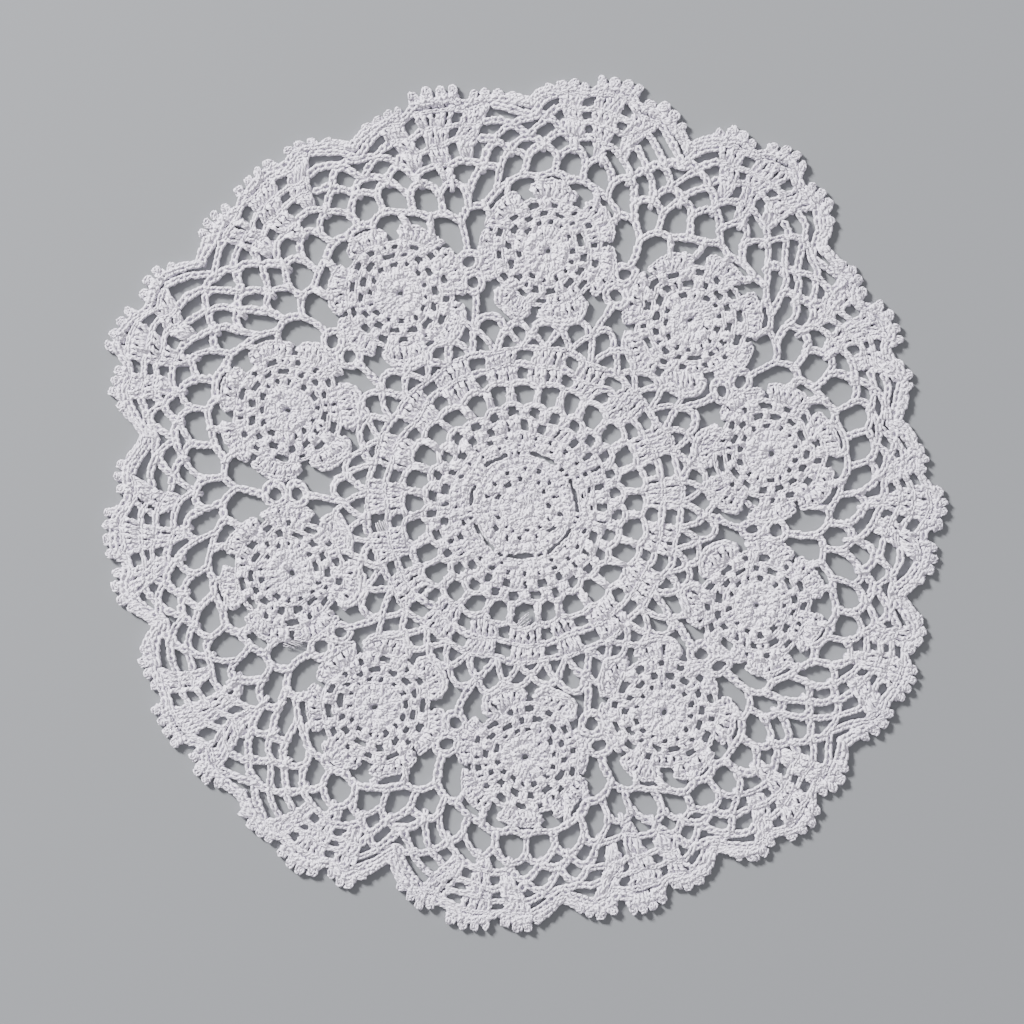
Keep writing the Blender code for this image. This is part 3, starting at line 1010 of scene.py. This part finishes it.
# The chains from the last arc of each row to the side of a fan.
VALLEY_TIES = [
    [(1.04, 0.28), (1.16, 0.38)], [(0.52, 0.49), (0.8, 0.53), (1.02, 0.55)],
    [(0.04, 0.7), (0.45, 0.71), (0.83, 0.75)], [(-1.04, 0.28), (-1.5, 0.36)],
    [(-0.52, 0.49), (-1.0, 0.53), (-1.36, 0.55)], [(-0.04, 0.7), (-0.5, 0.71), (-1.04, 0.75)],
]
# Where they meet.
VALLEY_KNOTS = [
    (0, 0.27), (1, 0.27), (-1, 0.27), (0.5, 0.48), (-0.5, 0.48), (0, 0.69), (0.5, 0.07),
    (-0.5, 0.07),
]
# The first row: the posts that all three fans grow from, by foot and top in arcs after the
# notch, and the chains that tie them to the net, each down to a knot.
FIRST_POSTS = [(2.28, 2.12), (2.34, 2.5)]
FIRST_CHAINS = [
    [(1.42, 0.06), (1.5, 0.14), (1.8, 0.19), (2.08, 0.2)],
    [(2.54, 0.2), (2.85, 0.19), (3.2, 0.14), (3.5, 0.06)],
]
FIRST_KNOTS = [(1.5, 1.48), (3.5, 3.5)]
print("rows of posts in a fan:", len(ROW_SHARES), "- arcs in a valley:", len(VALLEY_ARCS))

# %% Rows of the border
fans = Lace("fans")
border = Lace("border_rows")


def spots(notch, places):
    """Places of a scallop, each as arcs after its notch and a share of the way to the rim."""
    return [border_point(notch + arcs, share) for arcs, share in places]


def fan_rows(notch):
    """Three rows of posts in each of three fans, and chains between the fans."""
    for edges in FAN_EDGES:
        for row in range(len(edges) - 1):
            (low_left, low_right), (left, right) = edges[row], edges[row + 1]
            top = spots(notch, [(side, ROW_SHARES[row + 1]) for side in (left, right)])
            count = max(4, round(np.linalg.norm(top[1] - top[0]) / FAN_PITCH) + 1)
            feet = np.linspace(low_left, low_right, count)
            tops = np.linspace(left, right, count)
            lows = spots(notch, [(foot, ROW_SHARES[row] + 0.005) for foot in feet])
            highs = spots(notch, [(top, ROW_SHARES[row + 1] - 0.005) for top in tops])
            fans.posts(lows, highs, wide=1.1)
            fans.chain(highs, "head", count, wide=1.1, lift=0.1)
    for row in (1, 2, 3):
        share = ROW_SHARES[row]
        for one, two in zip(FAN_EDGES, FAN_EDGES[1:]):
            border.chain(spots(notch, [(one[row][1], share), (two[row][0], share)]), wide=0.75)


def valley_rows(notch):
    """The rows of chain arcs that lead up to a notch."""
    lines = [
        [(top + aside, low + rise * height) for aside, height in VALLEY_ARC]
        for top, low, rise in VALLEY_ARCS
    ]
    for line in lines + VALLEY_TIES:
        border.chain(spots(notch, line), wide=1.1)
    for arc, share in VALLEY_KNOTS:
        border.put("knot", *spots(notch, [(arc, share - 0.04), (arc, share + 0.05)]), 1.1)


def first_row(notch):
    """The stitch that all three fans grow from, and its chains to the net."""
    for foot, top in FIRST_POSTS:
        for aside in (-0.04, 0.04):
            border.put("post", *spots(notch, [(foot + aside, 0.03), (top + aside, 0.19)]))
    border.chain(spots(notch, [(2.1, 0.2), (2.5, 0.2)]), "head", 4, lift=0.15)
    for line in FIRST_CHAINS:
        border.chain(spots(notch, line))
    for foot, top in FIRST_KNOTS:
        border.put("knot", *spots(notch, [(foot, 0.0), (top, 0.1)]), 1.1)


for number in range(len(SCALLOPS)):
    notch = ARCS_PER_SCALLOP * number - 1
    fan_rows(notch)
    valley_rows(notch)
    first_row(notch)
fans.make()
border.make()

# %% Picots
picots = Lace("picots")
# The picots of a scallop, in arcs after its notch: four to a fan, lower at the fan's sides, and
# none beside the notch.
PICOT_PLACES = [0.62, 0.9, 1.18, 1.48, 2.02, 2.34, 2.66, 2.98, 3.56, 3.87, 4.17, 4.48]
PICOT_DROPS = [0.5, 0.0, 0.0, 0.6]
# The strands along the rim on either side of a notch.
NOTCH_STRANDS = [
    [(0.0, 0.965), (0.18, 0.925), (0.4, 0.9), (0.64, 0.9)],
    [(-0.6, 0.9), (-0.4, 0.9), (-0.18, 0.925), (0.0, 0.965)],
]
PICOT_REACH = 1.3
PICOT_LINKS = 5
PICOT_INSET = 2.1
# The chain that the picots stand on.
PICOT_ROW = [
    (0.0, 0.91), (0.25, 0.86), (0.5, 0.83), (0.85, 0.83), (1.2, 0.85), (1.6, 0.83), (2.0, 0.85),
    (2.4, 0.86), (2.8, 0.85), (3.25, 0.83), (3.7, 0.85), (4.15, 0.84), (4.5, 0.84), (4.75, 0.87),
    (5.0, 0.91),
]


def picot(notch, place, drop):
    """A tiny ring of chain on the rim, and the posts that carry it."""
    angle = rim_angle(notch + place)
    reach = rim_reach(notch + place) - PICOT_INSET - drop + dice.normal(0, 0.3)
    middle = polar(reach, angle)
    picots.chain(ring(middle, PICOT_REACH, angle + 180, 16), "head", PICOT_LINKS, lift=0.1)
    for aside in (-0.1, 0.1):
        foot = border_point(notch + place + aside * 0.9, 0.8)
        picots.put("post", foot, middle - polar(1.0, angle) + polar(aside * 11, angle - 90), 1.1)


def picot_row(notch):
    for index, place in enumerate(PICOT_PLACES):
        picot(notch, place, PICOT_DROPS[index % PICOTS_PER_FAN])
    picots.chain(spots(notch, PICOT_ROW), wide=1.1)
    for line in NOTCH_STRANDS:
        picots.chain(spots(notch, line), wide=0.95)
    picots.put("knot", *spots(notch, [(0.0, 0.86), (0.0, 0.98)]), 1.1)


for number in range(len(SCALLOPS)):
    picot_row(ARCS_PER_SCALLOP * number - 1)
picots.make()

# %% [markdown]
# ## Loose fibres
# At four places the cotton of the real doily has frayed, and a sheaf of fine fibres stands out of
# the thread across a hole. Each is a thin tube along a bent line that starts inside the thread.

# %% Frayed places
# columns: x, y, the way the fibres point in degrees, and how many there are
FRAYED = [
    (-98.2, -56.4, -25, 8), (1.4, -46.5, -150, 6), (-60.1, -7.2, -75, 8), (-16.0, 108.8, -105, 7),
]
FIBRE_RADIUS = 0.2
FIBRE_SHARES = np.linspace(0, 1, 7)


def sheaf(x, y, way, count):
    """Fibres side by side, each bent to one side and lifted in its middle."""
    ray, side = polar(1, way), polar(1, way + 90)
    start = np.array((x, y)) + np.linspace(-1.6, 1.6, count)[:, None] * side
    start += dice.normal(0, 0.25, start.shape)
    length = dice.uniform(3.5, 6.5, (count, 1))
    bend = dice.normal(0.9, 0.5, (count, 1)) * FIBRE_SHARES**2
    flat = start[:, None] + (length * FIBRE_SHARES)[..., None] * ray + bend[..., None] * side
    high = 1.2 + dice.uniform(0.1, 0.7, (count, 1)) * np.sin(np.pi * FIBRE_SHARES)
    return np.concatenate((flat, high[..., None]), axis=2)


fibres = np.concatenate([sheaf(*place) for place in FRAYED])
finish_piece("loose_fibres", *tubes(fibres, FIBRE_RADIUS), thread_cotton)

# %% [markdown]
# ## The web
# Under the stitches lies a thin web, so that the lace stays one sheet. It has to end inside the
# thread and to be open wherever the lace is. It could be drawn hole by hole, but there are over
# a thousand, and no two are alike. So it is found from the stitches themselves: a grid notes how
# deep each place lies inside thread, and the line where that falls to nothing is followed round
# each hole, as a contour line on a map. Blender then fills the flat curve between these lines.
# The web is coloured grey, as painted shade between the strands.

# %% How deep in thread
CELL = 0.4
WEB_EDGE = 0.2
MAP_SIDE = 190.0
MAP_COUNT = int(2 * MAP_SIDE / CELL)


def depth_map():
    """For each place of a grid, how many millimetres it lies inside the thread's edge."""
    depth = np.full(MAP_COUNT * MAP_COUNT, -CELL)
    for thread, radius in laid:
        near = np.round((thread + MAP_SIDE) / CELL).astype(int)
        window = int(radius / CELL) + 1
        for row in range(-window, window + 1):
            for column in range(-window, window + 1):
                place = near + (column, row)
                away = np.linalg.norm(place * CELL - MAP_SIDE - thread, axis=1)
                np.maximum.at(depth, place[:, 1] * MAP_COUNT + place[:, 0], radius - away)
    return depth.reshape(MAP_COUNT, MAP_COUNT) - WEB_EDGE


depth = depth_map()
print("share of the map in thread:", round(float((depth > 0).mean()), 3))

# %% Contour lines
# For each way that a square's four corners can lie in or out of thread: the sides that the line
# enters and leaves by, with thread on its left.
BOTTOM, RIGHT, TOP, LEFT = range(4)
CROSSINGS = {
    1: [(BOTTOM, LEFT)], 2: [(RIGHT, BOTTOM)], 3: [(RIGHT, LEFT)], 4: [(TOP, RIGHT)],
    5: [(BOTTOM, LEFT), (TOP, RIGHT)], 6: [(TOP, BOTTOM)], 7: [(TOP, LEFT)], 8: [(LEFT, TOP)],
    9: [(BOTTOM, TOP)], 10: [(RIGHT, BOTTOM), (LEFT, TOP)], 11: [(RIGHT, TOP)],
    12: [(LEFT, RIGHT)], 13: [(BOTTOM, RIGHT)], 14: [(LEFT, BOTTOM)],
}


def crossing_places():
    """Where the line crosses each side of the grid's squares: first those along x, then along y."""
    here = np.stack(np.indices(depth.shape)[::-1], axis=-1)
    places = []
    for axis, way in ((1, (1, 0)), (0, (0, 1))):
        slope = depth - np.roll(depth, -1, axis)
        share = depth / np.where(slope == 0, 1, slope)
        places.append((here + share[..., None] * way).reshape(-1, 2))
    return np.concatenate(places) * CELL - MAP_SIDE


def contour_steps():
    """From each crossed side to the one that the line goes on to."""
    solid = depth > 0
    kind = solid[:-1, :-1] + 2 * solid[:-1, 1:] + 4 * solid[1:, 1:] + 8 * solid[1:, :-1]
    after = {}
    for value, pairs in CROSSINGS.items():
        row, column = np.nonzero(kind == value)
        here = row * MAP_COUNT + column
        sides = (here, here + 1 + depth.size, here + MAP_COUNT, here + depth.size)
        for enter, leave in pairs:
            after.update(zip(sides[enter].tolist(), sides[leave].tolist()))
    return after


# %% Closed lines
def contours():
    """All closed lines, each an array of places."""
    after, places, found = contour_steps(), crossing_places(), []
    while after:
        first, crossed = after.popitem()
        line = [first]
        while crossed != first:
            line.append(crossed)
            crossed = after.pop(crossed)
        found.append(places[line])
    return found


def area_inside(line):
    """The area inside a line: more than 0 round thread, and less than 0 round a hole."""
    after = np.roll(line, -1, axis=0)
    return float((line[:, 0] * after[:, 1] - line[:, 1] * after[:, 0]).sum()) / 2


# %% Loops of the web
LEAST_HOLE, LEAST_LAND = 0.8, 20.0
EVERY = 3


def smooth_loop(line):
    """A line with its grid steps evened out, and every third place kept."""
    for _ in range(2):
        line = (np.roll(line, 1, axis=0) + 2 * line + np.roll(line, -1, axis=0)) / 4
    return line[::EVERY]


loops = []
for line in contours():
    area = area_inside(line)
    if area > LEAST_LAND or area < -LEAST_HOLE:
        loops.append(smooth_loop(line))
print("loops:", len(loops), "points:", sum(len(loop) for loop in loops))

# %% Web
WEB_LOW, WEB_HIGH = 0.6, 0.8
web_data = bpy.data.curves.new("ground", "CURVE")
web_data.dimensions = "2D"
web_data.fill_mode = "BOTH"
web_data.extrude = (WEB_HIGH - WEB_LOW) * MM / 2
for points in loops:
    spline = web_data.splines.new("POLY")
    spline.points.add(len(points) - 1)
    placed = (points - MIDDLE) * MM
    flat = np.column_stack((placed, np.zeros(len(placed)), np.ones(len(placed))))
    spline.points.foreach_set("co", flat.ravel())
    spline.use_cyclic_u = True
ground = bpy.data.objects.new("ground", web_data)
bpy.context.scene.collection.objects.link(ground)
ground.location = (0.0, 0.0, (WEB_LOW + WEB_HIGH) / 2 * MM)
ground.select_set(True)
bpy.context.view_layer.objects.active = ground
bpy.ops.object.convert(target="MESH")
ground = bpy.context.object
bpy.ops.object.transform_apply(location=True, rotation=False, scale=False)
bpy.ops.object.mode_set(mode="EDIT")
bpy.ops.mesh.select_all(action="SELECT")
bpy.ops.mesh.remove_doubles(threshold=0.01 * MM)
bpy.ops.mesh.normals_make_consistent(inside=False)
bpy.ops.object.mode_set(mode="OBJECT")
bpy.ops.object.select_all(action="DESELECT")
# The grey web material is painted shade: it stands for the shade deep between the strands.
ground.data.materials.clear()
ground.data.materials.append(web_painted_shade)
flat_area = sum(face.area for face in ground.data.polygons if abs(face.normal.z) > 0.5) / 2
print("web faces:", len(ground.data.polygons), "area:", round(flat_area, 4), "m2")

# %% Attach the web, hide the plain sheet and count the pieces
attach(ground, "root")
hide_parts("doily")
faces = [face for piece in pieces + [ground] for face in piece.data.polygons]
triangles = sum(len(face.vertices) - 2 for face in faces)
print("pieces:", len(pieces) + 1, "triangles:", triangles)
